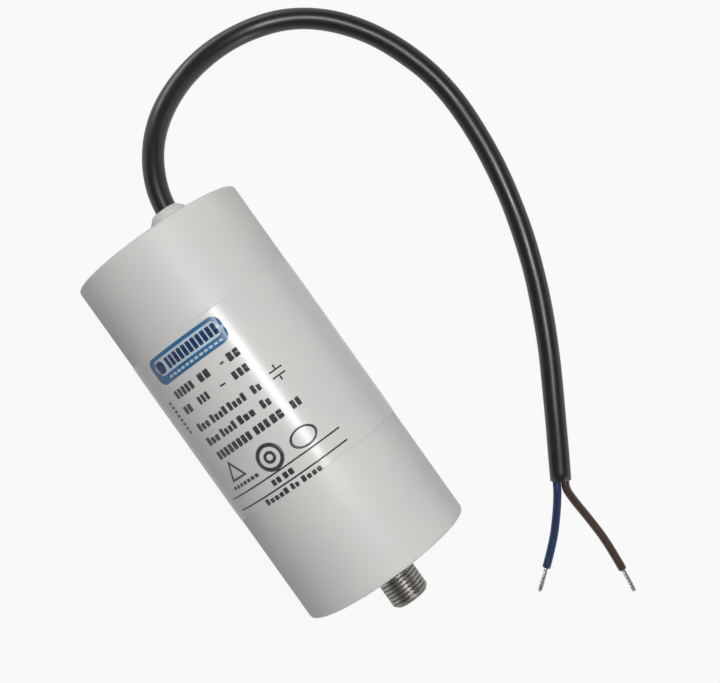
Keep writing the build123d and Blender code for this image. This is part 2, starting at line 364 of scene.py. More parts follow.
# %% Sheath rings: the outside, the rounded lip and the bore
SHEATH_SIDES = 32
SHEATH_WALL = 0.5
SHEATH_TWIST_LENGTH = 38.0
SHEATH_TWIST_HEIGHT = 0.02
SHEATH_BORE_ROWS = 14
LIP_DROP = 0.18
LIP_SETBACK = 0.15

sheath_travelled, sheath_direction = along(sheath_line)
sheath_turn = 2 * np.pi * sheath_travelled[:, None] / (SHEATH_TWIST_LENGTH * MM)
around_sheath = np.linspace(0, 2 * np.pi, SHEATH_SIDES, endpoint=False) + 0 * sheath_turn
sheath_radius = SHEATH_RADIUS + SHEATH_TWIST_HEIGHT * (np.cos(2 * (around_sheath - sheath_turn)) - 1)
outside = carried(sheath_line, MM * sheath_radius, around_sheath)
lip = carried(sheath_line, MM * (sheath_radius - LIP_DROP), around_sheath)[-1:]
outside[-1] -= sheath_direction[-1] * LIP_SETBACK * MM
bore_line = sheath_line[::-1][:SHEATH_BORE_ROWS]
bore_radius = np.full((SHEATH_BORE_ROWS, 1), MM * (SHEATH_RADIUS - SHEATH_WALL))
bore_rings = carried(bore_line, bore_radius, np.pi - around_sheath[:SHEATH_BORE_ROWS])
print("rings outside and inside:", len(outside), len(bore_rings))

# %% Sheath piece
sheath_mesh = closed_mesh("black_sheath", [np.concatenate([outside, lip, bore_rings])], sharp_degrees=60)
sheath_material = surface_material(
    "sheath_plastic", (0.012, 0.0105, 0.008), (0.007, 0.006, 0.005),
    rough=0.37, rough_spread=0.05, grain=2600.0, depth=0.00001, mottle=90.0, shine=0.55,
)
sheath = add_piece("black_sheath", sheath_mesh, sheath_material, "sheath_plastic", "cable_sheath")

# %% [markdown]
# ## Cores
#
# Two insulated wires come out of the cut end side by side, and each bends its own way: the blue one
# lazily, the brown one with a short kink close to the sheath. They start a little way inside the
# sheath, as the real ones do. The insulation is a plain tube. Its cut end is flat, with the bare
# strands coming out of the middle.

# %% Core routes
CORE_RADIUS = 1.075
CORE_SPACING = 2.2
CORE_LYING_Z = 1.125
CORE_SIDES = 24
CORE_INSIDE = 8.0
sheath_end = SHEATH_ROUTE[-1] / MM
sheath_along = SHEATH_ROUTE[-1] - SHEATH_ROUTE[-2]
sheath_along /= np.linalg.norm(sheath_along)
blue_side = np.cross(sheath_along, (0.0, 0.0, 1.0)) * CORE_SPACING / 2


def core_route(side, first_run, rest):
    """Control points of a core: inside the sheath, at its end, straight on for the first run, then more."""
    start = sheath_end + side
    return MM * np.array([
        start - sheath_along * CORE_INSIDE, start, start + sheath_along * first_run, *rest
    ])


BLUE_ROUTE = core_route(blue_side, 3.2, [
    (RIM_X - 115.15, -41.1, 1.7),
    (RIM_X - 120.45, -36.4, CORE_LYING_Z),
    (RIM_X - 124.85, -31.1, CORE_LYING_Z),
])
BROWN_ROUTE = core_route(-blue_side, 2.2, [
    (RIM_X - 114.75, -47.1, 1.8),
    (RIM_X - 120.95, -47.6, CORE_LYING_Z),
    (RIM_X - 128.95, -47.9, CORE_LYING_Z),
    (RIM_X - 136.75, -47.1, CORE_LYING_Z),
])
print("control points:", len(BLUE_ROUTE), "blue,", len(BROWN_ROUTE), "brown")


# %% A tube along a line
def tube_mesh(name, line, radius, sides, edge):
    """A plain closed tube whose far end narrows by the edge over the last bit of its length."""
    direction = along(line)[1]
    rows = np.concatenate([line[:-1], [line[-1] - direction[-1] * edge], line[-1:]])
    sizes = np.full((len(rows), 1), radius)
    sizes[-1] -= edge
    ring = np.linspace(0, 2 * np.pi, sides, endpoint=False)[None, :]
    return closed_mesh(name, [carried(rows, sizes, ring + 0 * sizes)], sharp_degrees=60)


# %% [markdown]
# ## Bare ends
#
# A bare end is 19 fine wires: one in the middle, six around it and twelve outside, all turning
# together. One tube with grooves would do from afar, but each wire is only one more ring carried along
# a line. Towards the tip the wires spread a little, because nothing holds them there.

# %% Strands
WIRE_RADIUS = 0.11
WIRE_SIDES = 8
WIRE_TWIST_LENGTH = 9.0
WIRE_SPLAY = 0.35
SPLAY_FROM = 0.55
OUTER_PACKING, OUTER_TURN = 0.97, 0.2
WIRE_TIP = 0.55


def strands_mesh(name, line, seed):
    """Nineteen twisted wires about a line, with slightly different lengths at the tip.

    At a distance s along the line a wire has turned from its first angle by 2 pi s / twist. Past a share
    of the length its distance from the line grows, by a random amount, and up to four rows are cut off.
    """
    chance = np.random.default_rng(seed)
    travelled = along(line)[0] / MM
    share = travelled / travelled[-1]
    places = [(0.0, 0.0)]
    places += [(2 * WIRE_RADIUS, step * math.pi / 3) for step in range(6)]
    places += [(4 * WIRE_RADIUS * OUTER_PACKING, step * math.pi / 6 + OUTER_TURN) for step in range(12)]
    ring = np.linspace(0, 2 * np.pi, WIRE_SIDES, endpoint=False)[None, :]
    grids = []
    for distance, angle in places:
        loose = 1 + WIRE_SPLAY * np.clip(share - SPLAY_FROM, 0, 1) * chance.uniform(0.2, 1.6)
        turned = angle + 2 * np.pi * travelled / WIRE_TWIST_LENGTH
        middle = carried(line, (MM * distance * loose)[:, None], turned[:, None])[:, 0]
        rows = len(line) - chance.integers(0, 5)
        size = np.full((rows, 1), MM * WIRE_RADIUS)
        size[-1] *= WIRE_TIP
        grids.append(carried(middle[:rows], size, ring + 0 * size))
    return closed_mesh(name, grids, sharp_degrees=50)


# %% Finishes of the cores and strands
strands_material = surface_material(
    "bare_strands", (0.66, 0.63, 0.58), (0.42, 0.39, 0.35),
    rough=0.38, rough_spread=0.06, grain=5000.0, depth=0.000004, mottle=300.0, metallic=1.0,
)
CORE_COLOURS = {
    "blue": ((0.012, 0.036, 0.108), (0.009, 0.028, 0.085)),
    "brown": ((0.075, 0.040, 0.030), (0.052, 0.028, 0.022)),
}
print("core colours:", sorted(CORE_COLOURS))

# %% Both cores with their bare ends
CORE_EDGE = 0.12
STRANDS_STEPS = 14
STRANDS_REACH = 6.5
STRANDS_TIP_Z = 0.65
for colour, route, seed in (("blue", BLUE_ROUTE, 3), ("brown", BROWN_ROUTE, 5)):
    line = smooth_line(route)
    insulation = surface_material(
        f"{colour}_insulation", *CORE_COLOURS[colour],
        rough=0.34, rough_spread=0.05, grain=4000.0, depth=0.00001, mottle=200.0,
    )
    core_mesh = tube_mesh(f"{colour}_wire", line, MM * CORE_RADIUS, CORE_SIDES, CORE_EDGE * MM)
    core = add_piece(f"{colour}_wire", core_mesh, insulation, f"{colour}_insulation", f"{colour}_core")
    core_end, core_direction = route[-1], along(line)[1][-1]
    tip = core_end + core_direction * STRANDS_REACH * MM
    middle = (core_end + tip) / 2
    tip[2] = STRANDS_TIP_Z * MM
    before, after = core_end - core_direction * MM, core_end + core_direction * MM
    strands_line = smooth_line([before, after, middle, tip], STRANDS_STEPS)
    strands = add_piece(
        f"{colour}_bare_end", strands_mesh(f"{colour}_bare_end", strands_line, seed), strands_material,
        "bare_strands", f"{colour}_strands",
    )
    print(colour, "core length in mm:", round(line_length(line) / MM, 1))

# %% [markdown]
# ## Can
#
# The can is one moulding: a cup with slightly rounded edges at its bottom and rim, and a step inside
# for the lid. Anything round like this is a profile turned about an axis, as on a lathe. The profile is
# written as corners with a radius each, and a helper puts the arcs in. Both faces of the wall are
# there, so the can has a real mouth.

# %% Lathe helpers
AXIS_Z = 22.5
ARC_STEPS = 7


def rounded_profile(corners):
    """A profile of straight runs whose corners are arcs. Each corner is (x, r, radius), in millimetres.

    half is half the angle inside the corner. The arc starts radius / tan(half) before the corner, ends as
    far after it, and has its centre radius / sin(half) away on the line that halves the angle. From start
    to end it turns by pi - 2 half = turn, as (sin((1 - t) turn) start + sin(t turn) end) / sin(turn).
    """
    corners = np.array(corners, dtype=float)
    points = []
    for before, corner, after in zip(corners, corners[1:], corners[2:]):
        here, radius = corner[:2], corner[2]
        if radius == 0:
            points.append(here[None])
            continue
        to_before, to_after = before[:2] - here, after[:2] - here
        to_before, to_after = to_before / np.linalg.norm(to_before), to_after / np.linalg.norm(to_after)
        half = math.acos(np.clip(to_before @ to_after, -1, 1)) / 2
        reach = radius / math.tan(half)
        inwards = (to_before + to_after) / np.linalg.norm(to_before + to_after)
        centre = here + inwards * radius / math.sin(half)
        start, end = here + to_before * reach - centre, here + to_after * reach - centre
        share = np.linspace(0, 1, ARC_STEPS)[:, None]
        turn = math.pi - 2 * half
        arc = (np.sin((1 - share) * turn) * start + np.sin(share * turn) * end) / math.sin(turn)
        points.append(centre + arc)
    return np.concatenate(points)


def turned(profile, axis_y, axis_z, sides):
    """A profile of (x, r) turned about a line along X: y = axis_y + r cos a, z = axis_z + r sin a."""
    angle = np.linspace(0, 2 * np.pi, sides, endpoint=False)[None, :]
    x, r = profile[:, :1], profile[:, 1:]
    return MM * np.stack([x + 0 * angle, axis_y + r * np.cos(angle), axis_z + r * np.sin(angle)], axis=-1)


# %% Can sizes
CAN_SIDES = 192
BASE_X = RIM_X - 96.0
CAN_RADIUS = 22.5
CAVITY_RADIUS = 20.5
LID_FACE_X = RIM_X - 0.8
LEDGE_X = LID_FACE_X - 1.8
SEAT_RADIUS = 21.2
NECK_RADIUS = 6.0
HEAD_X = BASE_X + 3.0
HEAD_RADIUS = 9.26
HEAD_TOP_X = HEAD_X + 4.0
BOSS_X = HEAD_TOP_X + 1.5
BOSS_RADIUS = 11.74
BASE_INSIDE_X = BASE_X + 2.5
HEAD_GAP = 0.02
NECK_GAP = 0.03
PAST_AXIS = -9
print("can from", BASE_X, "to", RIM_X, "in mm")

# %% Can shell
# The first and the last corner only give a direction: the profile starts and ends one corner further in.
can_profile = rounded_profile([
    (HEAD_TOP_X + HEAD_GAP, PAST_AXIS, 0),
    (HEAD_TOP_X + HEAD_GAP, HEAD_RADIUS, 0),
    (HEAD_X - HEAD_GAP, HEAD_RADIUS, 0),
    (HEAD_X - HEAD_GAP, NECK_RADIUS + NECK_GAP, 0),
    (BASE_X, NECK_RADIUS + NECK_GAP, 0.1),
    (BASE_X, CAN_RADIUS, 1.0),
    (RIM_X, CAN_RADIUS, 0.7),
    (RIM_X, SEAT_RADIUS, 0.15),
    (LEDGE_X, SEAT_RADIUS, 0),
    (LEDGE_X, CAVITY_RADIUS, 0),
    (BASE_INSIDE_X, CAVITY_RADIUS, 1.0),
    (BASE_INSIDE_X, BOSS_RADIUS, 0.5),
    (BOSS_X, BOSS_RADIUS, 0),
    (BOSS_X, PAST_AXIS, 0),
])
CAN_WHITE = ((0.705, 0.70, 0.675), (0.655, 0.66, 0.645))
can_material = surface_material(
    "can_plastic", *CAN_WHITE,
    rough=0.42, rough_spread=0.05, grain=2200.0, depth=0.000012, mottle=38.0, shine=0.35,
)
can_mesh = closed_mesh("can_shell", [turned(can_profile, 0.0, AXIS_Z, CAN_SIDES)], sharp_degrees=50)
add_piece("can_shell", can_mesh, can_material, "can_plastic", "can")

# %% [markdown]
# ## Lid and collar
#
# The lid sits just inside the rim. Where the lead comes out it has a collar with a wide round shoulder,
# whose mouth opens a little so that the sheath isn't bent over a sharp edge. The disc and the collar
# turn about different lines, so they are two lathe pieces that overlap, as if the moulding ran from one
# into the other.

# %% Lid disc
LID_GAP = 0.1
LID_REST_GAP = 0.01
SKIRT_X = LEDGE_X - 2.9
SKIRT_WALL = 1.4
LID_INSIDE_X = LEDGE_X - 0.4
lid_profile = rounded_profile([
    (LID_FACE_X, PAST_AXIS, 0),
    (LID_FACE_X, SEAT_RADIUS - LID_GAP, 0.25),
    (LEDGE_X + LID_REST_GAP, SEAT_RADIUS - LID_GAP, 0),
    (LEDGE_X + LID_REST_GAP, CAVITY_RADIUS - LID_GAP, 0),
    (SKIRT_X, CAVITY_RADIUS - LID_GAP, 0.3),
    (SKIRT_X, CAVITY_RADIUS - LID_GAP - SKIRT_WALL, 0.3),
    (LID_INSIDE_X, CAVITY_RADIUS - LID_GAP - SKIRT_WALL, 0.3),
    (LID_INSIDE_X, PAST_AXIS, 0),
])
lid_mesh = closed_mesh("lid_disc", [turned(lid_profile, 0.0, AXIS_Z, CAN_SIDES)], sharp_degrees=50)
add_piece("lid_disc", lid_mesh, can_material, "can_plastic", "lid")

# %% Collar
# The mouth opens as a quarter of an ellipse: x goes with sin(flare) and the radius with 1 - cos(flare).
OUTLET_Y, OUTLET_Z = -5.2, 20.5
COLLAR_X = RIM_X + 5.0
COLLAR_RADIUS = 5.0
SHOULDER_X = COLLAR_X - 1.55
BORE_RADIUS = SHEATH_RADIUS + 0.03
MOUTH_RADIUS = 3.15
MOUTH_LIP = 0.3
FOOT_RADIUS = COLLAR_RADIUS + 1.2
FOOT_X = LID_FACE_X - 0.6
COLLAR_INSIDE_X = RIM_X - 5.0
COLLAR_SIDES = 72
FLARE_ROWS = 8
flare = np.linspace(0, 1, FLARE_ROWS)[:, None] * np.pi / 2
bell = np.hstack([
    RIM_X + (COLLAR_X - RIM_X) * np.sin(flare),
    BORE_RADIUS + (MOUTH_RADIUS - BORE_RADIUS) * (1 - np.cos(flare)),
])
collar_outside = rounded_profile([
    (COLLAR_X, MOUTH_RADIUS, 0),
    (COLLAR_X, MOUTH_RADIUS + MOUTH_LIP, 0.15),
    (SHOULDER_X, COLLAR_RADIUS, 0.8),
    (LID_FACE_X, COLLAR_RADIUS, 0.9),
    (LID_FACE_X, FOOT_RADIUS, 0),
    (FOOT_X, FOOT_RADIUS, 0),
    (FOOT_X, COLLAR_RADIUS, 0),
    (COLLAR_INSIDE_X, COLLAR_RADIUS, 0),
    (COLLAR_INSIDE_X, BORE_RADIUS, 0),
    (RIM_X, BORE_RADIUS, 0),
])
collar_mesh = closed_mesh(
    "lead_collar",
    [turned(np.vstack([bell, collar_outside]), OUTLET_Y, OUTLET_Z, COLLAR_SIDES)],
    rows_loop=True,
    sharp_degrees=50,
)
add_piece("lead_collar", collar_mesh, can_material, "can_plastic", "lid")

# %% [markdown]
# ## Stud
#
# The stud is a zinc-plated steel screw moulded into the base, with a fine thread of a millimetre a turn
# and flat crests. A thread can be made with the Screw modifier or a displacement, but as a surface it is
# one formula: the radius depends on x / pitch - angle / turn, so a crest climbs by one pitch per turn.
# The same grid goes on through the neck and the hexagonal head inside the boss.

# %% Radius of the thread and of the head
STUD_RADIUS = 5.0
STUD_TIP_X = BASE_X - 10.5
TIP_RADIUS = STUD_RADIUS - 0.9
SHANK_RADIUS = STUD_RADIUS - 0.12
PITCH = 1.0
CREST_RISE = 0.1
ROOT_DROP = 0.22
GROOVE_SHARE = 0.42
RUN_OUT = 1.1


def thread_radius(x, angle):
    """Shank + fade (rise wave - drop (1 - wave)), cut off by a cone of 45 degrees at the tip.

    wave is 0 in the bottom of the groove and 1 on the flat crest, and depends on the part of
    x / pitch - angle / (2 pi) after the point. fade goes to 0 towards the can, where the thread runs out.
    """
    phase = np.mod(x / PITCH - angle / (2 * np.pi), 1.0)
    wave = np.clip(np.abs(2 * phase - 1) / GROOVE_SHARE, 0, 1)
    fade = np.clip((BASE_X - x) / RUN_OUT, 0, 1)
    radius = SHANK_RADIUS + fade * (CREST_RISE * wave - ROOT_DROP * (1 - wave))
    return np.minimum(radius, TIP_RADIUS + (x - STUD_TIP_X))


def hexagon_radius(angle, flats):
    """From the middle of a hexagon to its edge: half the flats over cos(angle off the flat)."""
    return flats / 2 / np.cos(np.mod(angle, np.pi / 3) - np.pi / 6)


# %% Stud
STUD_SIDES = 120
ROWS_PER_PITCH = 20
HEAD_FLATS = 16.0
stud_angle = np.linspace(0, 2 * np.pi, STUD_SIDES, endpoint=False)[None, :]
thread_x = np.arange(STUD_TIP_X, BASE_X, PITCH / ROWS_PER_PITCH)[:, None]
shank_x = np.array([[BASE_X], [BASE_X], [HEAD_X], [HEAD_X], [HEAD_TOP_X]])
shank_r = np.concatenate([
    np.full((1, STUD_SIDES), SHANK_RADIUS),
    np.full((2, STUD_SIDES), NECK_RADIUS),
    np.repeat(hexagon_radius(stud_angle, HEAD_FLATS), 2, axis=0),
])
stud_x = np.vstack([thread_x, shank_x])
stud_r = np.vstack([thread_radius(thread_x, stud_angle), shank_r])
stud_points = MM * np.stack(
    [stud_x + 0 * stud_r, stud_r * np.cos(stud_angle), AXIS_Z + stud_r * np.sin(stud_angle)], axis=-1
)
stud_material = surface_material(
    "stud_metal", (0.36, 0.345, 0.315), (0.25, 0.24, 0.215),
    rough=0.38, rough_spread=0.05, grain=1800.0, depth=0.000002, mottle=260.0, metallic=1.0,
)
stud_mesh = closed_mesh("threaded_stud", [stud_points], sharp_degrees=45)
add_piece("threaded_stud", stud_mesh, stud_material, "stud_metal", "stud")

# %% [markdown]
# ## Painted shade on the stud's tip
#
# The stud's tip and its chamfer are painted darker than the plated steel, and this darker colour is
# painted shade. It could be a face with a material of its own, but a soft border looks truer. A mask
# along X goes from 0 at the tip to 1 a millimetre behind it, and takes the colour from the painted
# shade to the plated one.

# %% Darken the tip with painted shade
# Painted shade: the tip's colour is a darker steel than the plated one, drawn in for how the tip looks
# under light.
TIP_SHADE_COLOUR = (0.120, 0.113, 0.100)
TIP_SHADE_TO, SHADE_GONE_FROM = STUD_TIP_X + 0.6, STUD_TIP_X + 1.1
tree = stud_material.node_tree
colour = tree.nodes["Principled BSDF"].inputs["Base Color"]
plated = colour.links[0].from_socket
place = new_node(tree, "ShaderNodeTexCoord").outputs["Object"]
along_can = new_node(tree, "ShaderNodeSeparateXYZ", Vector=place).outputs["X"]
unshaded_share = new_node(
    tree, "ShaderNodeMapRange", Value=along_can, From_Min=MM * TIP_SHADE_TO, From_Max=MM * SHADE_GONE_FROM
)
tree.links.new(blend(tree, unshaded_share.outputs[0], TIP_SHADE_COLOUR, plated), colour)
print("bare steel up to x =", TIP_SHADE_TO, "mm")

# %% [markdown]
# ## Label
#
# A clear glossy film is wrapped around the middle of the can, and the print is on the film. Letting
# light through the film would cost much and show little, so it gets the can's own white with more
# gloss. It is a patch of a slightly larger cylinder with a thickness. Positions on it are written as u,
# the distance from the rim, and v, the distance around from the top line, so a flat drawing can be laid
# out and then wrapped on.

# %% Wrapping a drawing on the can
FILM_RADIUS = 22.67
FILM_THICKNESS = 0.12
FILM_EDGE = 4.0
FILM_SINK = 0.05
LABEL_START, LABEL_END = 22.3, 66.8
LABEL_HALF = math.radians(125.0)


def wrapped(u, v, lift):
    """x = rim - u, and y and z go round the can's axis by the angle v / film radius, towards -Y.

    The film's edges are pressed down on the can, so over the last four millimetres the radius falls
    by sink (1 + cos(pi d)) / 2, where d goes from 0 at the edge to 1.
    """
    to_edge = np.clip(np.minimum(u - LABEL_START, LABEL_END - u) / FILM_EDGE, 0, 1)
    radius = FILM_RADIUS + lift - FILM_SINK * (1 + np.cos(np.pi * to_edge)) / 2
    angle = v / FILM_RADIUS
    return MM * np.stack([RIM_X - u, -radius * np.sin(angle), AXIS_Z + radius * np.cos(angle)], axis=-1)


def patch_mesh(name, drawings, lift=0.0):
    """One mesh out of open grids of (u, v), wrapped on the film or lifted off it, facing outwards."""
    all_points, all_faces, start = [], [], 0
    for u, v in drawings:
        points = wrapped(u, v, lift)
        faces = grid_faces(*u.shape, around=False) + start
        a, b, d = (points.reshape(-1, 3)[faces[0, corner] - start] for corner in (0, 1, 3))
        outwards = points[0, 0] - (points[0, 0, 0], 0, AXIS_Z * MM)
        if np.dot(np.cross(b - a, d - a), outwards) < 0:
            faces = faces[:, ::-1]
        all_points.append(points.reshape(-1, 3))
        all_faces.append(faces)
        start += points.shape[0] * points.shape[1]
    mesh = bpy.data.meshes.new(name)
    mesh.from_pydata(np.vstack(all_points), [], np.vstack(all_faces).tolist())
    mesh.shade_smooth()
    return mesh


# %% A wall for an open patch
def thicken(piece, thickness):
    """Gives an open patch a thickness, inwards from where it is, and keeps its face flat up to the edge.

    Smooth shading would lean the face's edge over towards the narrow rim, so large faces set the normals.
    """
    wall = piece.modifiers.new("thickness", "SOLIDIFY")
    wall.thickness = thickness * MM
    wall.offset = -1.0
    normals = piece.modifiers.new("flat_to_the_edge", "WEIGHTED_NORMAL")
    normals.weight = 100


# %% Film
FILM_ROWS, FILM_COLUMNS = 120, 200
film_u, film_v = np.meshgrid(
    np.linspace(LABEL_START, LABEL_END, FILM_ROWS),
    np.linspace(-LABEL_HALF, LABEL_HALF, FILM_COLUMNS) * FILM_RADIUS,
    indexing="ij",
)
film_material = surface_material(
    "label_print", *CAN_WHITE,
    rough=0.24, rough_spread=0.03, grain=900.0, depth=0.000010, mottle=38.0, shine=0.27,
)
film_mesh = patch_mesh("printed_film", [(film_u, film_v)])
film = add_piece("printed_film", film_mesh, film_material, "label_print", "label_film")
thicken(film, FILM_THICKNESS)

# %% [markdown]
# ## Print
#
# The print is a thin coat of ink on the film. On a part for everyone it is a plain layout: a blue panel,
# rows of small upright blocks, plain outlines, the drawing sign for a capacitor and two rules. An image
# could carry it, but an image blurs up close. Here each shape is a grid between two edges, or a ring
# between two radii, so it bends with the can and stays crisp.

# %% Bars and rings
BAR_STEP = 0.35
RING_POINTS = 73


def bar(u0, u1, v0, v1, corner=0.0):
    """A rectangle with rounded corners, between the edges u0 and u1 and the ends v0 and v1.

    At a distance d from an end the edges draw in by corner - sqrt(corner^2 - (corner - d)^2).
    """
    columns = max(6, int((v1 - v0) / BAR_STEP))
    share = (1 - np.cos(np.linspace(0, np.pi, columns))) / 2
    v = v0 + (v1 - v0) * share
    near_end = np.clip(np.minimum(v - v0, v1 - v), 0, corner)
    inset = corner - np.sqrt(corner**2 - (corner - near_end) ** 2)
    rows = np.linspace(0, 1, 3)[:, None]
    return (u0 + inset) + rows * ((u1 - inset) - (u0 + inset)), v + 0 * rows


def ring(u, v, radius, stroke, sides=0, turn=0.0, squeeze=1.0):
    """A closed outline: a ring, or with n sides a polygon.

    The polygon's edge is cos(pi / n) / cos(angle off a flat) times the radius from the middle, and
    squeeze makes the outline narrower along u.
    """
    angle = np.linspace(0, 2 * np.pi, RING_POINTS)[None, :]
    reach = np.ones_like(angle)
    if sides:
        step = 2 * np.pi / sides
        reach = np.cos(step / 2) / np.cos(np.mod(angle, step) - step / 2)
    across = np.linspace(radius - stroke, radius, 3)[:, None] * reach
    return u + across * np.cos(angle + turn) * squeeze, v + across * np.sin(angle + turn)


# %% Groups of blocks
BLOCK_WIDTH = 1.1
BLOCK_GAP = 0.34
BLOCK_CORNER = 0.2
LOW_BLOCK = 0.74


def blocks(u, v0, v1, height, low_every=0):
    """A group of upright blocks between v0 and v1, which stand on one line at u + height / 2.

    With low_every, a block is low unless its number in the group divides by it.
    """
    count = max(1, round((v1 - v0 + BLOCK_GAP) / (BLOCK_WIDTH + BLOCK_GAP)))
    pitch = (v1 - v0 + BLOCK_GAP) / count
    foot = u + height / 2
    shapes = []
    for step in range(count):
        tall = height * (LOW_BLOCK if low_every and step % low_every else 1.0)
        start = v0 + step * pitch
        shapes.append(bar(foot - tall, foot, start, start + pitch - BLOCK_GAP, BLOCK_CORNER))
    return shapes


# %% Lay out the blocks
# Each row: its middle u, its height, the low_every of its blocks, and the ends of its groups along v.
BLOCK_ROWS = [
    (33.9, 2.1, 0, [(-17.8, -11.2), (-9.3, -6.1), (-0.8, 2.3)]),
    (38.0, 2.0, 0, [(-18.4, -15.5), (-12.8, -9.5), (-2.2, 1.9)]),
    (43.0, 2.1, 3, [(-18.0, -13.8), (-12.9, -8.0), (-7.3, -2.5), (-0.6, 1.7)]),
    (46.9, 2.1, 3, [(-18.2, -13.8), (-12.9, -8.2), (-7.3, -2.8), (-0.8, 1.6)]),
    (50.9, 2.1, 0, [(-18.0, -6.6), (-5.5, -1.5), (-0.9, 2.3), (4.7, 7.2)]),
    (59.3, 0.9, 0, [(-20.4, -11.0)]),
    (62.9, 1.5, 0, [(-9.4, -6.9), (-6.1, -3.3)]),
    (65.9, 1.5, 4, [(-14.0, -7.0), (-6.1, -4.0), (-3.0, 2.3)]),
]
dark_shapes = [
    shape
    for row_u, height, low_every, spans in BLOCK_ROWS
    for start, end in spans
    for shape in blocks(row_u, start, end, height, low_every)
]
SIDE_START, SIDE_STEP, SIDE_BLOCK = 34.2, 1.15, 0.75
for place in SIDE_START + SIDE_STEP * np.arange(8):
    dark_shapes.append(bar(place, place + SIDE_BLOCK, -22.4, -21.2, BLOCK_CORNER))
print("blocks:", len(dark_shapes))

# %% Lay out the signs, the rules and the panel
PLATE_U, PLATE_V, PLATE_HALF, LEAD = 42.9, 6.6, 1.75, 1.3
PLATE_GAP, STROKE = 1.5, 0.4
for side in (-1, 1):
    plate = PLATE_U + side * PLATE_GAP / 2
    lead_ends = sorted([plate, plate + side * LEAD])
    plate_edges = (plate - STROKE / 2, plate + STROKE / 2)
    dark_shapes.append(bar(*plate_edges, PLATE_V - PLATE_HALF, PLATE_V + PLATE_HALF))
    dark_shapes.append(bar(*lead_ends, PLATE_V - STROKE / 2, PLATE_V + STROKE / 2))
# Bars have two edges along u and two ends along v; outlines a middle (u, v), a radius and a stroke.
dark_shapes += [
    bar(33.8, 34.25, -2.9, -1.9),
    bar(37.9, 38.35, -5.9, -4.4),
    bar(61.0, 61.4, -24.6, 11.0),
    bar(64.3, 64.7, -23.6, 10.9),
    ring(57.6, -6.1, 3.4, 0.95),
    ring(57.6, -6.1, 1.5, 0.75),
    ring(56.2, -16.4, 3.3, 1.1, sides=3, turn=math.pi),
    ring(58.1, 3.0, 3.5, 0.65, squeeze=0.68),
]
panel_shapes = [bar(23.9, 30.7, -19.7, 2.8, 2.2)]
pale_shapes = [bar(24.8, 28.7, -18.2, 1.9, 1.5)]
pale_shapes += blocks(29.7, -15.6, 1.0, 0.6)
deep_shapes = [bar(25.2, 28.3, -17.6, -14.9, 1.1)] + blocks(26.75, -14.0, 1.2, 2.8)
print("dark shapes:", len(dark_shapes))

# %% Print the shapes
INK_LIFT = 0.02
INK_THICKNESS = 0.015
# For each ink: its light and dark colour, its shapes, and how far above the lowest ink it lies.
INKS = {
    "dark_ink": ((0.060, 0.060, 0.058), (0.045, 0.045, 0.045), dark_shapes, 0.0),
    "blue_ink": ((0.045, 0.160, 0.330), (0.035, 0.130, 0.280), panel_shapes, 0.0),
    "pale_ink": ((0.520, 0.620, 0.680), (0.470, 0.570, 0.630), pale_shapes, 0.02),
    "deep_ink": ((0.014, 0.040, 0.120), (0.010, 0.030, 0.095), deep_shapes, 0.04),
}
for ink, (light, dark, shapes, lift) in INKS.items():
    material = surface_material(
        ink, light, dark,
        rough=0.24, rough_spread=0.03, grain=900.0, depth=0.000006, mottle=120.0, shine=0.35,
    )
    ink_mesh = patch_mesh(f"print_{ink}", shapes, INK_LIFT + lift)
    thicken(add_piece(f"print_{ink}", ink_mesh, material, "label_print"), INK_THICKNESS)

# %% [markdown]
# ## Inside the can
#
# The winding, its core tube, the resin and the ends of the cores are hidden, but they are part of the
# model and a cut-away view would show them. Their CAD meshes stay, and each only gets a plain finish of
# its own kind.

# %% Finishes for the hidden pieces
# For each node: the material's name, its light and dark colour, roughness, grain and metallic share.
HIDDEN = {
    "winding": ("winding_film", (0.62, 0.62, 0.64), (0.50, 0.50, 0.52), 0.32, 1200.0, 0.4),
    "core_tube": ("core_tube_plastic", (0.74, 0.75, 0.76), (0.66, 0.67, 0.68), 0.45, 1500.0, 0.0),
    "potting_resin": ("resin", (0.78, 0.71, 0.55), (0.70, 0.62, 0.46), 0.30, 700.0, 0.0),
    "blue_inner_lead": ("blue_insulation_inside", *CORE_COLOURS["blue"], 0.34, 4000.0, 0.0),
    "brown_inner_lead": ("brown_insulation_inside", *CORE_COLOURS["brown"], 0.34, 4000.0, 0.0),
}
# The CAD meshes that a piece stands in for get that piece's finish too.
REPLACED = {
    "can": can_material,
    "lid": can_material,
    "stud": stud_material,
    "label_film": film_material,
    "cable_sheath": sheath_material,
    "blue_core": bpy.data.materials["blue_insulation"],
    "brown_core": bpy.data.materials["brown_insulation"],
    "blue_strands": strands_material,
    "brown_strands": strands_material,
}


def dress(node, material):
    """Gives a CAD node's object one material in every slot."""
    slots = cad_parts[node].data.materials
    slots.clear()
    slots.append(material)


for node, (name, light, dark, rough, grain, metallic) in HIDDEN.items():
    material = surface_material(
        name, light, dark,
        rough=rough, rough_spread=0.05, grain=grain, depth=0.00001, mottle=150.0, metallic=metallic,
    )
    dress(node, material)
for node, material in REPLACED.items():
    dress(node, material)
print("finishes on CAD nodes:", len(HIDDEN) + len(REPLACED))

# %% [markdown]
# ## Table
#
# The picture is a plain product shot: white all around and hardly a shadow. A floor white enough for
# that would throw much light up at the object. So most of what a looking ray sees of the floor is its
# own light at a strength of 1, which is white, and the rest is grey paper, which still takes the
# object's shadow. Rays that only carry light from place to place see nothing but the paper.

# %% Floor
FLOOR_HALF = 3.0
FLOOR_Z = -0.00002
floor_mesh = bpy.data.meshes.new("floor")
floor_corners = FLOOR_HALF * np.array([(-1, -1, 0), (1, -1, 0), (1, 1, 0), (-1, 1, 0)])
floor_mesh.from_pydata(floor_corners, [], [(0, 1, 2, 3)])
floor = bpy.data.objects.new("floor", floor_mesh)
floor.location = (0, 0, FLOOR_Z)
SCENE.collection.objects.link(floor)
print("floor width in m:", 2 * FLOOR_HALF)


# %% Floor material
def math_node(tree, operation, first, second):
    """The result of a sum, product or the like of two links or numbers."""
    return new_node(tree, "ShaderNodeMath", {"operation": operation}, i0=first, i1=second).outputs[0]


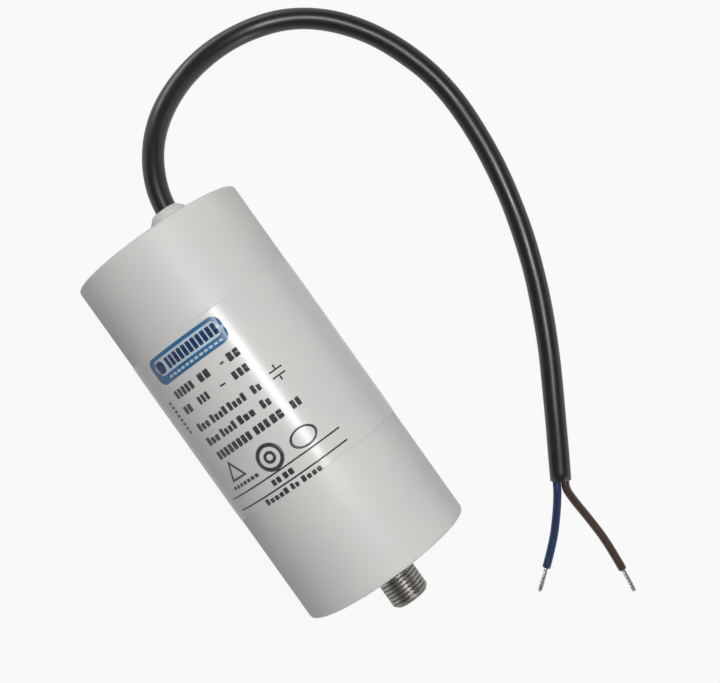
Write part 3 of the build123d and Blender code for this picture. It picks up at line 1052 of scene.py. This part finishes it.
def looking_rays(tree):
    """1 for rays that look, from the camera, in a mirror or through glass, and 0 for all others."""
    rays = new_node(tree, "ShaderNodeLightPath").outputs
    mirrored = math_node(tree, "MAXIMUM", rays["Is Camera Ray"], rays["Is Glossy Ray"])
    return math_node(tree, "MAXIMUM", mirrored, rays["Is Transmission Ray"])


WHITE = (1.0, 1.0, 1.0, 1.0)
PAPER_GREY = (0.32, 0.32, 0.32, 1.0)
GLOW_SHARE = 0.93
floor_material = bpy.data.materials.new("floor_paper")
floor_material.use_nodes = True
tree = floor_material.node_tree
tree.nodes.clear()
paper = new_node(tree, "ShaderNodeBsdfDiffuse", Color=PAPER_GREY).outputs[0]
glow = new_node(tree, "ShaderNodeEmission", Color=WHITE, Strength=1.0).outputs[0]
share = math_node(tree, "MULTIPLY", looking_rays(tree), GLOW_SHARE)
mixed = new_node(tree, "ShaderNodeMixShader", Fac=share, i1=paper, i2=glow).outputs[0]
new_node(tree, "ShaderNodeOutputMaterial", Surface=mixed)
floor_mesh.materials.append(floor_material)

# %% [markdown]
# ## Lamps and sky
#
# One narrow lamp hangs almost overhead, a little towards the lead's side. It leaves the can bright on
# top and darker down its sides, and draws the bright streak along the glossy film. Two weak lamps low
# down light the flat ends, which the lamp above only grazes. The sky adds a little from everywhere. A
# white wall behind the table isn't built: near the horizon the sky itself is white to looking rays, and
# it is dark above, which is what the metal mirrors there.

# %% Lamps
def area_lamp(name, place, target, size, power, colour):
    """A rectangular lamp that the camera doesn't see, with its size in metres and power in watts."""
    lamp = bpy.data.lights.new(name, "AREA")
    lamp.shape = "RECTANGLE"
    lamp.size, lamp.size_y = size
    lamp.energy = power
    lamp.color = colour
    holder = bpy.data.objects.new(name, lamp)
    holder.visible_camera = False
    SCENE.collection.objects.link(holder)
    direction = Vector(target) - Vector(place)
    holder.rotation_euler = direction.to_track_quat("-Z", "X").to_euler()
    holder.location = place
    print(name, "at", place, "power", power)


area_lamp("key", (0.03, -0.097, 0.50), (0.0, -0.003, 0.045), (0.055, 0.17), 1.65, (1.0, 1.0, 1.0))
area_lamp("stud_end_fill", (-0.75, -0.15, 0.11), (-0.045, 0.0, 0.022), (0.35, 0.20), 1.6, (0.94, 1.0, 1.0))
area_lamp("lid_end_fill", (0.75, -0.15, 0.11), (0.050, 0.0, 0.022), (0.35, 0.20), 1.6, (1.0, 0.97, 0.92))

# %% Sky
SKY_LIGHT = 0.10
WHITE_BELOW, DARK_ABOVE = 0.28, 0.42
world = bpy.data.worlds.new("sky")
world.use_nodes = True
tree = world.node_tree
tree.nodes.clear()
sky = new_node(tree, "ShaderNodeBackground", Color=WHITE, Strength=SKY_LIGHT).outputs[0]
horizon = new_node(tree, "ShaderNodeBackground", Color=WHITE, Strength=1.0).outputs[0]
direction = new_node(tree, "ShaderNodeTexCoord").outputs["Generated"]
rise = new_node(tree, "ShaderNodeSeparateXYZ", Vector=direction).outputs["Z"]
low = new_node(
    tree, "ShaderNodeMapRange",
    Value=rise, From_Min=WHITE_BELOW, From_Max=DARK_ABOVE, To_Min=1.0, To_Max=0.0,
).outputs[0]
share = math_node(tree, "MULTIPLY", looking_rays(tree), low)
mixed = new_node(tree, "ShaderNodeMixShader", Fac=share, i1=sky, i2=horizon).outputs[0]
new_node(tree, "ShaderNodeOutputWorld", Surface=mixed)
SCENE.world = world
SCENE.view_settings.view_transform = "Standard"
print("sky strength:", SKY_LIGHT)
